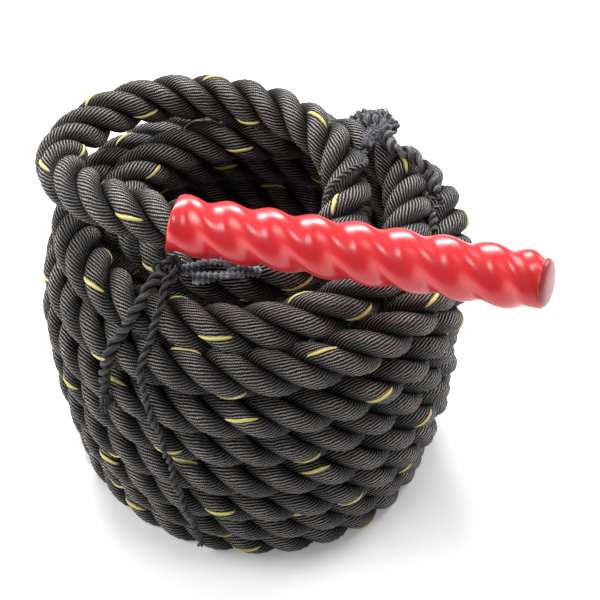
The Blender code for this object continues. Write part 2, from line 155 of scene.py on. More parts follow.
# Places on the tie cords' routes, in millimetres. The rope pushes out a cord that lies on it.
UPPER_RUN = (
    (-50, -98, 288), (-44, -98, 289), (-35, -95, 291), (-25, -92, 293), (-14, -92, 293), (-2, -94, 291),
)
LOWER_RUN = (
    (-42, -105, 286), (-30, -105, 288), (-19, -104, 289), (-9, -101, 290), (1, -99, 290),
    (10, -100, 287),
)
THICK_TAIL = (
    (-60, -104, 291), (-68, -113, 291), (-73, -123, 286), (-79, -129, 277), (-86, -132, 266),
    (-93, -134, 256), (-99, -139, 246), (-103, -141, 236), (-106, -140, 224), (-107, -138, 213),
    (-106, -140, 204),
)
THIN_TAIL = (
    (-57, -106, 291), (-60, -122, 289), (-62, -132, 280), (-66, -137, 268), (-70, -143, 257),
    (-74, -150, 250), (-77, -155, 241), (-76, -157, 228), (-74, -157, 213), (-71, -160, 201),
    (-68, -158, 187), (-66, -157, 173), (-64, -158, 162), (-61, -156, 146), (-59, -156, 130),
    (-57, -153, 113), (-55, -151, 98), (-52, -152, 86), (-49, -147, 69), (-47, -143, 54),
    (-46, -137, 37), (-45, -131, 20), (-45, -128, 8),
)
BACK_RUN = (
    (93, 99, 289), (96, 91, 287), (102, 80, 281), (111, 61, 277), (121, 43, 275), (128, 26, 274),
    (134, 14, 273),
)
BACK_TAIL = ((142, 2, 266), (142, -4, 265), (141, -13, 264), (139, -23, 263))
INNER_RUN = ((90, 42, 300), (86, 26, 302), (80, 11, 302), (74, -3, 301), (67, -17, 298), (61, -29, 295))
TUFT_LINE = ((110, 99, 280), (110, 108, 283), (107, 115, 281), (103, 120, 275))
SMALL_TUFT_LINE = ((89, 38, 301), (92, 50, 303), (97, 62, 301), (102, 74, 296))
FRONT_KNOT = (-58, -98, 289)
BACK_KNOT = (143, 12, 270)
# Small loops of cord that stand out of the back tie's frayed end
TUFT_LOOPS = (
    ((108, 98, 277), (105, 107, 284), (97, 112, 288), (90, 108, 286), (92, 101, 281)),
    ((109, 96, 277), (111, 106, 285), (105, 115, 286), (97, 118, 279)),
    ((107, 96, 278), (100, 98, 287), (91, 102, 290), (83, 107, 287), (80, 112, 281)),
    ((110, 94, 276), (117, 100, 282), (117, 108, 280), (112, 114, 273)),
    ((105, 98, 280), (98, 106, 290), (89, 113, 288), (84, 117, 280)),
    ((104, 95, 281), (96, 92, 288), (88, 95, 289), (82, 102, 284)),
    ((106, 100, 282), (103, 103, 290), (96, 103, 292), (90, 99, 288)),
)

# The room: soft boxes with their place, their width and height, and the share of full white that
# each lights a surface to
LAMP_AIM = (0, 0, 0.2)
LAMPS = (
    ("back_box", (-0.35, 1.1, 1.35), (0.95, 0.36), 0.98),
    ("front_box", (0.10, -0.45, 1.75), (0.45, 0.35), 0.28),
    ("left_box", (-1.4, -0.2, 0.9), (0.6, 0.8), 0.50),
    ("right_box", (1.2, 0.7, 1.0), (0.6, 0.8), 0.42),
)
ROOM_LIGHT = 0.22
FLOOR_HALF = 6.0
# The camera: its place from the coil's axis, its tilt and roll in degrees, and its lens
CAMERA_PLACE = (0.0376, -0.8245, 0.8992)
CAMERA_TILT = 48.7
CAMERA_ROLL = 0.47
CAMERA_LENS = 78.24
CAMERA_SENSOR = 36.0


def placed(name, data):
    """A new object for the data, in the scene."""
    made = bpy.data.objects.new(name, data)
    bpy.context.scene.collection.objects.link(made)
    return made


# Node trees

class Wire:
    """A value in a node tree that Python operators work on."""

    def __init__(self, nodes, socket):
        self.nodes = nodes
        self.socket = socket

    def other(self, output):
        return Wire(self.nodes, self.socket.node.outputs[output])

    def math(self, operation, *others):
        values = dict(zip(("i0", "i1", "i2"), (self, *others)))
        return self.nodes.node("ShaderNodeMath", {"operation": operation}, **values)

    def __add__(self, other):
        return self.math("ADD", other)

    __radd__ = __add__

    def __sub__(self, other):
        return self.math("SUBTRACT", other)

    def __rsub__(self, other):
        return (self * -1.0) + other

    def __mul__(self, other):
        return self.math("MULTIPLY", other)

    __rmul__ = __mul__

    def __truediv__(self, other):
        return self.math("DIVIDE", other)

    def __rtruediv__(self, other):
        return (self ** -1.0) * other

    def __pow__(self, other):
        return self.math("POWER", other)

    def clamped(self):
        return self.math("MAXIMUM", 0.0).math("MINIMUM", 1.0)

    def smooth(self, low, high):
        share = ((self - low) / (high - low)).clamped()
        return share * share * (3.0 - 2.0 * share)

    def vector(self, operation, other=None, output=0):
        values = {"i0": self}
        if other is not None:
            values["Scale" if operation == "SCALE" else "i1"] = other
        return self.nodes.node("ShaderNodeVectorMath", {"operation": operation}, output, **values)

    def scaled(self, amount):
        return self.vector("SCALE", amount)

    def plus(self, *others):
        total = self
        for other in others:
            total = total.vector("ADD", other)
        return total

    def parts(self):
        split = self.nodes.node("ShaderNodeSeparateXYZ", i0=self)
        return split, split.other(1), split.other(2)


class Nodes:
    """A node tree, and the one way to add a node to it."""

    def __init__(self, tree):
        self.tree = tree

    def feed(self, slot, value):
        if isinstance(value, Wire):
            self.tree.links.new(value.socket, slot)
        elif isinstance(value, tuple) and len(value) == 3 and slot.type == "RGBA":
            slot.default_value = (*value, 1.0)
        else:
            slot.default_value = value

    def node(self, kind, settings=None, output=0, **values):
        made = self.tree.nodes.new(kind)
        for key, value in (settings or {}).items():
            setattr(made, key, value)
        for key, value in values.items():
            numbered = key[0] == "i" and key[1:].isdigit()
            self.feed(made.inputs[int(key[1:]) if numbered else key.replace("_", " ")], value)
        return Wire(self, made.outputs[output])


class Finish(Nodes):
    """One material."""

    def __init__(self, name, **sockets):
        self.material = bpy.data.materials.new(name)
        self.material.use_nodes = True
        super().__init__(self.material.node_tree)
        self.shader = self.tree.nodes["Principled BSDF"]
        for key, value in sockets.items():
            self.set(key.replace("_", " "), value)

    def set(self, name, value):
        self.feed(self.shader.inputs[name], value)

    def place(self):
        return self.node("ShaderNodeTexCoord", output=3)

    def along_and_round(self):
        along, around, _ = self.node("ShaderNodeUVMap", {"uv_map": "run"}).parts()
        return along, around

    def noise(self, scale, at=None, detail=3.0):
        return self.node("ShaderNodeTexNoise", Vector=at or self.place(), Scale=scale, Detail=detail,
                         Roughness=0.55)

    def blend(self, share, one, two):
        return self.node("ShaderNodeMix", {"data_type": "RGBA"}, output=2, i0=share, i6=one, i7=two)

    def bump(self, height, distance, strength, after=None):
        values = {"Height": height, "Distance": distance, "Strength": strength}
        if after is not None:
            values["Normal"] = after
        return self.node("ShaderNodeBump", **values)


class Maker(Nodes):
    """A geometry tree that lays one repeated shape along a line of points."""

    def __init__(self, name, counts, sizes):
        super().__init__(bpy.data.node_groups.new(name, "GeometryNodeTree"))
        sockets = self.tree.interface
        sockets.new_socket("Geometry", in_out="INPUT", socket_type="NodeSocketGeometry")
        kinds = {**dict.fromkeys(counts.split(), "Int"), **dict.fromkeys(sizes.split(), "Float")}
        self.kept = {}
        for key, kind in {**kinds, "material": "Material"}.items():
            made = sockets.new_socket(key, in_out="INPUT", socket_type="NodeSocket" + kind)
            self.kept[key] = made.identifier
        sockets.new_socket("Geometry", in_out="OUTPUT", socket_type="NodeSocketGeometry")
        self.given = self.tree.nodes.new("NodeGroupInput")
        self.result = self.tree.nodes.new("NodeGroupOutput")

    def take(self, name):
        return Wire(self, self.given.outputs[name])

    def store(self, shape, name, kind, domain, value):
        return self.node("GeometryNodeStoreNamedAttribute", {"data_type": kind, "domain": domain},
                         Geometry=shape, Name=name, Value=value)

    def attribute(self, name, kind):
        return self.node("GeometryNodeInputNamedAttribute", {"data_type": kind}, Name=name)

    def sheets(self, copies, length, sides, scale):
        """Copies of a sheet that is rolled up later, each with its number and its UV map."""
        sheet = self.node("GeometryNodeMeshGrid", Size_X=length - 1.0, Size_Y=1.0, Vertices_X=length,
                          Vertices_Y=sides + 1.0)
        along, around, _ = sheet.other(1).parts()
        run = self.node("ShaderNodeCombineXYZ", X=along * (length - 1.0) * scale, Y=around)
        sheet = self.store(sheet, "run", "FLOAT2", "CORNER", run)
        points = self.node("GeometryNodePoints", Count=copies)
        copied = self.node("GeometryNodeInstanceOnPoints", Points=points, Instance=sheet)
        copied = self.store(copied, "copy", "INT", "INSTANCE", self.node("GeometryNodeInputIndex"))
        whole = self.node("GeometryNodeRealizeInstances", Geometry=copied)
        column, row, _ = self.node("GeometryNodeInputPosition").parts()
        index = (column + (length - 1.0) * 0.5).math("ROUND")
        return whole, index, row + 0.5, self.attribute("copy", "INT")

    def on_line(self, at):
        """The line's centre and two directions across it at a place between its points."""
        line = self.take("Geometry")
        low = at.math("FLOOR")
        share = at - low
        found = []
        for value in (self.node("GeometryNodeInputPosition"), self.attribute("across", "FLOAT_VECTOR"),
                      self.attribute("up", "FLOAT_VECTOR")):
            one, two = (self.node("GeometryNodeSampleIndex", {"data_type": "FLOAT_VECTOR", "clamp": True},
                                  Geometry=line, Value=value, Index=index) for index in (low, low + 1.0))
            found.append(one.plus(two.vector("SUBTRACT", one).scaled(share)))
        return found

    def pressed(self, point, middle, run):
        """Flattened where turns lie on each other, and where the rope lies on the floor."""
        x, y, z = point.parts()
        centre_height = middle.parts()[2]
        lift = z - centre_height
        press_from, press_to = self.take("press_from"), self.take("press_to")
        inside = ((run - press_from) / PRESS_FADE).clamped() * ((press_to - run) / PRESS_FADE).clamped()
        over = (lift.math("ABSOLUTE") - PRESS_LIMIT).math("MAXIMUM", 0.0)
        lift = lift - lift.math("SIGN") * over * (1.0 - PRESS_SHARE) * inside
        z = centre_height + lift
        under = (FLOOR_FLAT - z).math("MAXIMUM", 0.0)
        z = z.math("MAXIMUM", FLOOR_FLAT) - under * FLOOR_SOFT / (under + FLOOR_SOFT)
        return self.node("ShaderNodeCombineXYZ", X=x, Y=y, Z=z)

    def finish(self, whole, place):
        rolled = self.node("GeometryNodeSetPosition", Geometry=whole, Position=place)
        rolled = self.node("GeometryNodeMergeByDistance", Geometry=rolled, Distance=0.00002)
        rolled = self.node("GeometryNodeFlipFaces", Mesh=rolled)
        rolled = self.node("GeometryNodeSetShadeSmooth", Geometry=rolled, Shade_Smooth=True)
        rolled = self.node("GeometryNodeRealizeInstances", Geometry=rolled)
        rolled = self.node("GeometryNodeSetMaterial", Geometry=rolled, Material=self.take("material"))
        self.tree.links.new(rolled.socket, self.result.inputs[0])

    def make(self, name, line, material, **values):
        """The tree's result on a line, as one plain mesh."""
        across, up = carried_frames(line)
        mesh = bpy.data.meshes.new(name)
        mesh.from_pydata([tuple(p) for p in line], [(i, i + 1) for i in range(len(line) - 1)], [])
        for key, vectors in (("across", across), ("up", up)):
            layer = mesh.attributes.new(key, "FLOAT_VECTOR", "POINT")
            layer.data.foreach_set("vector", vectors.astype(np.float32).ravel())
        made = placed(name, mesh)
        modifier = made.modifiers.new(name, "NODES")
        modifier.node_group = self.tree
        for key, value in {"material": material, **values}.items():
            modifier[self.kept[key]] = value
        graph = bpy.context.evaluated_depsgraph_get()
        plain = bpy.data.meshes.new_from_object(made.evaluated_get(graph))
        made.modifiers.remove(modifier)
        made.data = plain
        return made


def wave(value):
    """One smooth hump for each whole step of the value."""
    return 0.5 - 0.5 * (value * (2 * math.pi)).math("COSINE")


def turned(across, up, angle):
    """The two directions across a line, turned round it by an angle."""
    cosine, sine = angle.math("COSINE"), angle.math("SINE")
    outward = across.scaled(cosine).plus(up.scaled(sine))
    sideways = up.scaled(cosine).plus(across.scaled(sine * -1.0))
    return outward, sideways


# Materials

def braid_finish():
    """Black braid whose rib crests are painted pale as sheen, black between them, with painted shade toward
    the grooves between strands.
    """
    made = Finish("ribbed_black_braid", Specular_IOR_Level=0.25)
    run, turn = made.along_and_round()
    place = made.place()
    waver = made.noise(150.0, place) - 0.5
    rib = wave(run / RIB_PITCH + turn * float(RIB_STARTS) + waver * 0.9)
    stitch = wave(turn * 30.0 - run * 260.0 + waver * 0.8)
    fibre = made.noise(1100.0, place)
    shade = made.noise(24.0, place)
    # Painted shade: each strand darkens from its crown down its sides toward the grooves between strands.
    crown_shade = wave(turn) ** 4.0
    # Painted sheen: the rib pattern is the braid's own, but its crests are painted pale in the base colour.
    crest_sheen = (rib ** 2.6) * (0.30 + 0.70 * stitch) * (0.1 + 1.8 * fibre)
    crest_sheen = crest_sheen * (0.1 + 1.8 * shade) * (0.08 + 0.92 * crown_shade)
    made.set("Base Color", made.blend(crest_sheen.clamped(), (0.0012, 0.0009, 0.0008), (0.80, 0.745, 0.705)))
    made.set("Roughness", 0.62 - 0.25 * (rib * fibre))
    ribs = made.bump(rib ** 0.8, 0.0012, 0.9)
    made.set("Normal", made.bump(stitch * rib * 0.5 + fibre * 0.2, 0.0003, 0.6, ribs))
    return made.material


def tracer_finish():
    made = Finish("yellow_tracer", Roughness=0.45, Sheen_Weight=0.2)
    run, turn = made.along_and_round()
    threads = wave(turn * 5.0 + run * 190.0)
    made.set("Base Color", made.blend(threads * 0.55, (1.0, 0.90, 0.28), (1.0, 0.74, 0.10)))
    made.set("Normal", made.bump(threads, 0.0002, 0.6))
    return made.material


def sleeve_finish():
    made = Finish("shrunk_red_sleeve", Coat_Weight=0.85, Coat_Roughness=0.30, Coat_IOR=1.62, IOR=1.46,
                  Specular_IOR_Level=0.4, Subsurface_Weight=0.12, Subsurface_Radius=(0.012, 0.003, 0.002))
    place = made.place()
    cloud = made.noise(34.0, place).smooth(0.3, 0.75)
    made.set("Base Color", made.blend(cloud, (0.94, 0.010, 0.020), (1.0, 0.028, 0.040)))
    made.set("Roughness", 0.28 + 0.16 * made.noise(120.0, place))
    made.set("Normal", made.bump(made.noise(70.0, place, 2.0), 0.0006, 0.35))
    return made.material


def cap_finish():
    made = Finish("dull_red_cap", Coat_Weight=0.3, Coat_Roughness=0.2, Subsurface_Weight=0.15,
                  Subsurface_Radius=(0.008, 0.002, 0.002))
    cloud = made.noise(60.0)
    made.set("Base Color", made.blend(cloud, (0.40, 0.020, 0.022), (0.62, 0.070, 0.066)))
    made.set("Roughness", 0.3 + 0.14 * cloud)
    return made.material


def cord_finish(name, dark, pale):
    """Streaks of yarn along each ply, with fuzz, and painted shade where the plies meet."""
    made = Finish(name, Roughness=0.8, Sheen_Weight=0.15)
    run, turn = made.along_and_round()
    round_it = turn * (2 * math.pi)
    yarn = made.node("ShaderNodeCombineXYZ", X=run * 140.0, Y=round_it.math("COSINE") * 3.0,
                     Z=round_it.math("SINE") * 3.0)
    streak = made.node("ShaderNodeTexNoise", Vector=yarn, Scale=1.0, Detail=3.0)
    fuzz = made.noise(900.0)
    # Painted shade: each ply darkens from its crown toward where it meets the other plies.
    crown_shade = wave(turn).smooth(0.35, 0.95)
    share = (streak.smooth(0.40, 0.64) * 0.7 + fuzz * 1.1 - 0.40).clamped() * crown_shade
    made.set("Base Color", made.blend(share, dark, pale))
    made.set("Normal", made.bump(streak + fuzz * 0.3 + crown_shade * 0.7, 0.0010, 0.9))
    return made.material


def fray_finish(name, dark, pale):
    made = Finish(name, Roughness=0.85)
    made.set("Base Color", made.blend(made.noise(420.0).smooth(0.35, 0.65), dark, pale))
    return made.material


rope_black = braid_finish()
tracer_yellow = tracer_finish()
grip_red = sleeve_finish()
cap_red = cap_finish()
cord_dark = cord_finish("plied_dark_cord", (0.004, 0.004, 0.004), (0.17, 0.16, 0.16))
cord_grey = cord_finish("plied_grey_cord", (0.012, 0.012, 0.014), (0.36, 0.37, 0.40))
fray_dark = fray_finish("frayed_dark_fibre", (0.010, 0.009, 0.009), (0.14, 0.13, 0.13))
fray_grey = fray_finish("frayed_grey_fibre", (0.04, 0.04, 0.045), (0.26, 0.27, 0.29))
cord_pale = cord_finish("knobby_blue_grey_cord", (0.12, 0.135, 0.17), (0.90, 0.95, 1.0))


# Smooth curves

def cubic(points, steps, counts, start_slope=None, end_slope=None):
    """A smooth cubic through the points, each span cut into its count of pieces."""
    points = np.array(points, float)
    steps = np.array(steps, float)
    last = len(points) - 1
    left = np.zeros((last + 1, last + 1))
    right = np.zeros_like(points)
    rise = np.diff(points, axis=0) / steps[:, None]
    left[0, 0] = left[last, last] = 1.0
    for i in range(1, last):
        left[i, i - 1] = steps[i - 1]
        left[i, i] = 2 * (steps[i - 1] + steps[i])
        left[i, i + 1] = steps[i]
        right[i] = 6 * (rise[i] - rise[i - 1])
    if start_slope is not None:
        left[0, 0] = 2 * steps[0]
        left[0, 1] = steps[0]
        right[0] = 6 * (rise[0] - np.array(start_slope))
    if end_slope is not None:
        left[last, last] = 2 * steps[-1]
        left[last, last - 1] = steps[-1]
        right[last] = 6 * (np.array(end_slope) - rise[-1])
    bend = np.linalg.solve(left, right)
    line = []
    for i in range(last):
        step = steps[i]
        from_low = points[i] / step - bend[i] * step / 6
        from_high = points[i + 1] / step - bend[i + 1] * step / 6
        for j in range(counts[i]):
            past = step * j / counts[i]
            ahead = step - past
            line.append(bend[i] * ahead ** 3 / (6 * step) + bend[i + 1] * past ** 3 / (6 * step)
                        + from_low * ahead + from_high * past)
    line.append(points[last])
    return np.array(line)


def unit(vectors):
    return vectors / np.linalg.norm(vectors, axis=-1, keepdims=True)


def metres(table):
    """A table in millimetres, in metres."""
    return np.array(table, float) / 1000


def smooth_line(points, step, start_way=None, end_way=None):
    """A smooth line through the points, which leaves and arrives along the ways where given."""
    points = np.array(points, float)
    spans = np.linalg.norm(np.diff(points, axis=0), axis=1)
    counts = [max(1, round(span / step)) for span in spans]
    return cubic(points, spans, counts, start_way, end_way)


def run_of(line):
    """The length along the line up to each of its points."""
    return np.concatenate([[0.0], np.cumsum(np.linalg.norm(np.diff(line, axis=0), axis=1))])


def even(line, step):
    """The same line with its points at even steps."""
    run = run_of(line)
    count = max(2, int(round(run[-1] / step)) + 1)
    at = np.linspace(0.0, run[-1], count)
    return np.stack([np.interp(at, run, line[:, k]) for k in range(3)], 1)


def carried_frames(line):
    """Two directions across the line at each point, carried back from its end with no twist."""
    way = unit(np.gradient(line, axis=0))
    across = np.zeros_like(line)
    first = np.cross(way[-1], (0.0, 0.0, 1.0))
    if np.linalg.norm(first) < 0.1:
        first = np.cross(way[-1], (1.0, 0.0, 0.0))
    across[-1] = first / np.linalg.norm(first)
    for i in range(len(line) - 2, -1, -1):
        side = across[i + 1] - way[i] * across[i + 1].dot(way[i])
        across[i] = side / np.linalg.norm(side)
    return across, np.cross(way, across)


def path_of(line, every):
    """Every few of a line's points, and its last one."""
    return [tuple(p) for p in line[::every]] + [tuple(line[-1])]


# The rope's whole centre line, from the far end of the lower grip to that of the upper one

knots = [knot for row in TURNS for knot in row]
spans = len(knots) - 1
rows = cubic(metres(knots), [1.0] * spans, [QUARTER_POINTS] * spans, metres(COIL_START_SLOPE),
             metres(COIL_END_SLOPE))
angles = 2 * np.pi * (np.arange(len(rows)) / (4 * QUARTER_POINTS) - 0.5)
coil = np.stack([rows[:, 0] * np.cos(angles), rows[:, 0] * np.sin(angles), rows[:, 1]], 1)


def lead(first, way, points, mouth, grip_way):
    """The free stretch from an end of the coil to a grip's mouth, and on inside the grip."""
    along = unit(np.array(grip_way))
    start = first + way * BODY_DIAMETER
    line = smooth_line([start, *metres(points), metres(mouth)], LEAD_STEP, way, along)
    inside = metres(mouth) + along * np.linspace(LEAD_STEP, SLEEVE_RUN_ON, LEAD_END_POINTS)[:, None]
    return np.vstack([line, inside])


top_lead = lead(coil[-1], unit(coil[-1] - coil[-2]), TOP_LEAD, TOP_MOUTH, TOP_WAY)
bottom_lead = lead(coil[0], unit(coil[0] - coil[1]), BOTTOM_LEAD, BOTTOM_MOUTH, BOTTOM_WAY)
centre = even(np.vstack([bottom_lead[::-1], coil, top_lead]) + COIL_AXIS, ROPE_STEP)
rope_across, rope_up = carried_frames(centre)
rope_length = float(run_of(centre)[-1])
rope_step = rope_length / (len(centre) - 1)
coil_from = float(run_of(bottom_lead)[-1] + COIL_MARGIN)
coil_to = float(coil_from + run_of(coil)[-1] - 2 * COIL_MARGIN)


# Strands and plies: each is a sheet rolled into a tube that winds round the line. The seam of
# the tube faces the line.

strands = Maker("laid_strands", "plies points sides",
                "step offset half_height half_width lay phase fullness end_rounding knob_depth knob_pitch "
                "press_from press_to")


def rolled(make, value, name):
    """The cosine or sine of a value, a little fuller than round."""
    raw = value.math(name)
    return raw.math("SIGN") * raw.math("ABSOLUTE") ** make.take("fullness")


def lay_strands(make):
    whole, index, turn, strand = make.sheets(make.take("plies"), make.take("points"), make.take("sides"),
                                             make.take("step"))
    run = index * make.take("step")
    middle, across, up = make.on_line(index)
    angle = (run / make.take("lay") + strand / make.take("plies")) * (2 * math.pi) + make.take("phase")
    outward, sideways = turned(across, up, angle)
    round_it = (turn * 2.0 - 1.0) * math.pi
    end = index.math("MINIMUM", make.take("points") - 1.0 - index)
    size = (end / make.take("end_rounding")).clamped() ** 0.5
    knobs = 1.0 + make.take("knob_depth") * (
        (run / make.take("knob_pitch") + strand * 0.5) * (2 * math.pi)).math("COSINE")
    out = make.take("offset") + rolled(make, round_it, "COSINE") * make.take("half_height") * size * knobs
    side = rolled(make, round_it, "SINE") * make.take("half_width") * size * knobs
    slope = make.take("offset") / make.take("lay") * (2 * math.pi)
    square = side / (1.0 + slope * slope) ** 0.5
    point = middle.plus(outward.scaled(out), sideways.scaled(square),
                        across.vector("CROSS_PRODUCT", up).scaled(square * slope * -1.0))
    make.finish(whole, make.pressed(point, middle, run))


lay_strands(strands)
strand_form = {"step": rope_step, "offset": STRAND_CENTRE, "half_height": STRAND_HALF_HEIGHT,
               "half_width": STRAND_HALF_WIDTH, "lay": LAY_LENGTH, "phase": STRAND_PHASE,
               "fullness": STRAND_FULLNESS, "press_from": coil_from, "press_to": coil_to}
rope = strands.make("three_strand_rope", centre, rope_black, plies=3, points=len(centre),
                    sides=STRAND_SIDES, end_rounding=1.0, knob_depth=0.0, knob_pitch=1.0, **strand_form)


# The tracer: one yellow yarn of one strand, seen as an arc each time it comes to the outside

arcs = Maker("tracer_arcs", "arcs points sides",
             "step offset half_height half_width lay phase fullness pitch drift first reach width height "
             "press_from press_to")


def lay_arcs(make):
    points, pitch, lay = make.take("points"), make.take("pitch"), make.take("lay")
    high, wide, offset = make.take("half_height"), make.take("half_width"), make.take("offset")
    whole, index, turn, arc = make.sheets(make.take("arcs"), points, make.take("sides"), 0.004)
    share = 1.0 - 2.0 * index / (points - 1.0)
    angle = share * make.take("reach")
    drift = make.take("drift")
    run = make.take("first") + pitch * (arc + 0.5) - drift * angle
    middle, across, up = make.on_line(run / make.take("step"))
    way = across.vector("CROSS_PRODUCT", up)
    wound = run / lay * (2 * math.pi) + make.take("phase")
    outward, sideways = turned(across, up, wound)
    cosine, sine = rolled(make, angle, "COSINE"), rolled(make, angle, "SINE")
    slope = offset / lay * (2 * math.pi)
    lean = (1.0 + slope * slope) ** 0.5
    flank = sideways.scaled(1.0 / lean).plus(way.scaled(slope / lean * -1.0))
    base = middle.plus(outward.scaled(offset + high * cosine), flank.scaled(wide * sine))
    normal = outward.scaled(cosine / high).plus(flank.scaled(sine / wide)).vector("NORMALIZE")
    twist = drift / lay * (2 * math.pi)
    along = outward.scaled(sine * -1.0 * high).plus(
        flank.scaled(wide * cosine), sideways.scaled((offset + high * cosine) * twist * -1.0),
        way.scaled(drift * -1.0))
    flat = along.scaled(-1.0).vector("CROSS_PRODUCT", normal).vector("NORMALIZE")
    size = (1.0 - share.math("ABSOLUTE") ** 2.2).math("MAXIMUM", 0.0) ** 0.6
    ring = turn * (2 * math.pi)
    point = base.plus(normal.scaled(ring.math("COSINE") * size * make.take("height") * 0.5),
                      flat.scaled(ring.math("SINE") * size * make.take("width") * 0.5))
    make.finish(whole, make.pressed(point, middle, run))


lay_arcs(arcs)
tracer = arcs.make("tracer_yarn", centre, tracer_yellow, points=TRACER_POINTS, sides=6,
                   arcs=int((rope_length - TRACER_FIRST) / TRACER_PITCH) - 1, pitch=TRACER_PITCH,
                   drift=RIB_PITCH * RIB_STARTS / (2 * math.pi), first=TRACER_FIRST, reach=TRACER_REACH,
                   width=TRACER_WIDTH, height=TRACER_HEIGHT, **strand_form)


# Frayed ends: a bunch of crinkled fibres that spread out from the end of a cord

fibres = Maker("frayed_fibres", "fibres points sides length seed",
               "root spread crinkle curl_pitch thickness")


def lay_fibres(make):
    points = make.take("points")
    whole, index, turn, fibre = make.sheets(make.take("fibres"), points, make.take("sides"), 0.002)
    seed = make.take("seed")

    def chance(key, low, high):
        drawn = make.node("FunctionNodeRandomValue", {"data_type": "FLOAT"}, output=1, ID=fibre,
                          Seed=seed + float(key))
        return drawn * (high - low) + low

    share = index / (points - 1.0)
    reach = chance(1, 0.55, 1.0)
    middle, across, up = make.on_line(share * reach * (make.take("length") - 1.0))
    round_it = chance(2, 0.0, 2 * math.pi)
    away = (make.take("root") + make.take("spread") * share ** 1.4) * (chance(3, 0.0, 1.0) ** 0.5)
    ripple = make.take("crinkle") * share.math("MINIMUM", 0.5) * 2.0
    wind = share * reach * make.take("curl_pitch")
    one, two = ((wind * chance(key, 0.7, 1.5) + chance(key + 1, 0.0, 6.28)).math("SINE") * ripple
                for key in (4, 6))
    ring = turn * (2 * math.pi)
    end = index.math("MINIMUM", points - 1.0 - index)
    size = end.clamped() * make.take("thickness")
    out = round_it.math("COSINE") * away + one + ring.math("COSINE") * size
    side = round_it.math("SINE") * away + two + ring.math("SINE") * size
    make.finish(whole, middle.plus(across.scaled(out), up.scaled(side)))


lay_fibres(fibres)


# Meshes over rings of points

def sweep_mesh(name, rings, along, material):
    """A closed skin over rings of points, with its run along and round as a UV map."""
    count, sides = rings.shape[:2]
    faces = []
    turns = []
    for i in range(count - 1):
        for k in range(sides):
            after = (k + 1) % sides
            faces.append((i * sides + k, i * sides + after, (i + 1) * sides + after, (i + 1) * sides + k))
            here, there = k / sides, (k + 1) / sides
            turns.extend(((along[i], here), (along[i], there), (along[i + 1], there), (along[i + 1], here)))
    faces.append(tuple(range(sides - 1, -1, -1)))
    turns.extend((along[0], k / sides) for k in range(sides - 1, -1, -1))
    last = (count - 1) * sides
    faces.append(tuple(last + k for k in range(sides)))
    turns.extend((along[-1], k / sides) for k in range(sides))
    mesh = bpy.data.meshes.new(name)
    mesh.from_pydata([tuple(p) for p in rings.reshape(-1, 3)], [], faces)
    layer = mesh.uv_layers.new(name="run")
    layer.data.foreach_set("uv", np.array(turns, np.float32).ravel())
    mesh.materials.append(material)
    mesh.shade_smooth()
    return placed(name, mesh)


# The grips: the strands' lobes show through the sleeve, and turn with them

def hump(height, away, width):
    return height * np.exp(-(away / width) ** 2)[:, None]


def grip(name, mouth, way, forward):
    """A sleeve over the rope's end: the rope's upper end where forward, else its lower one."""
    way = unit(np.array(way))
    start = metres(mouth) + COIL_AXIS
    ring = np.arange(SLEEVE_SIDES) / SLEEVE_SIDES * 2 * np.pi * (1 if forward else -1)
    inside = int(np.argmin(np.linalg.norm(centre - (start + way * 0.1), axis=1)))
    directions = np.cos(ring)[:, None] * rope_across[inside] + np.sin(ring)[:, None] * rope_up[inside]
    depth = np.linspace(0.0, SLEEVE_LENGTH, SLEEVE_RINGS)
    run = rope_length - SLEEVE_RUN_ON + depth if forward else SLEEVE_RUN_ON - depth
    lobes = (1 - np.cos(3 * (ring[None] - 2 * np.pi * run[:, None] / LAY_LENGTH - STRAND_PHASE))) / 2
    radius = SLEEVE_DIAMETER / 2 - LOBE_DEPTH * lobes
    radius = radius + hump(MOUTH_BEAD, depth - MOUTH_BEAD_WIDTH, MOUTH_BEAD_WIDTH)
    radius = radius - hump(END_CLOSING, SLEEVE_LENGTH - depth, END_CLOSING_WIDTH)
    lip = SLEEVE_WALL / 2
    bore = radius[0] - SLEEVE_WALL
    narrow = np.full(SLEEVE_SIDES, SLEEVE_BORE)
    rings = [(narrow * 0.9, 0.012), (narrow, 0.010), (bore, lip), (bore + lip * 0.3, lip * 0.3),
             (bore + lip, 0.0), (radius[0] - lip * 0.3, lip * 0.3)]
    rings.extend((radius[i], depth[i]) for i in range(SLEEVE_RINGS) if depth[i] > lip * 1.5)
    slant = MOUTH_SLANT * (directions @ unit(np.array(MOUTH_SLANT_WAY)))
    points = []
    for size, back in rings:
        near_mouth = np.clip(1 - back / MOUTH_SLANT_REACH, 0, 1)
        near_end = np.clip(1 - (SLEEVE_LENGTH - back) / END_LEAN_REACH, 0, 1) ** 2
        lean = END_LEAN * near_end * (size * (directions @ END_FACE) + SLEEVE_DIAMETER / 2)
        moved = back + slant * near_mouth - lean
        points.append(start + moved[:, None] * way + size[:, None] * directions)
    points = np.array(points)
    return sweep_mesh(name, points, run_of(points.mean(axis=1)), grip_red)


top_grip = grip("upper_grip_sleeve", TOP_MOUTH, TOP_WAY, True)
bottom_grip = grip("lower_grip_sleeve", BOTTOM_MOUTH, BOTTOM_WAY, False)


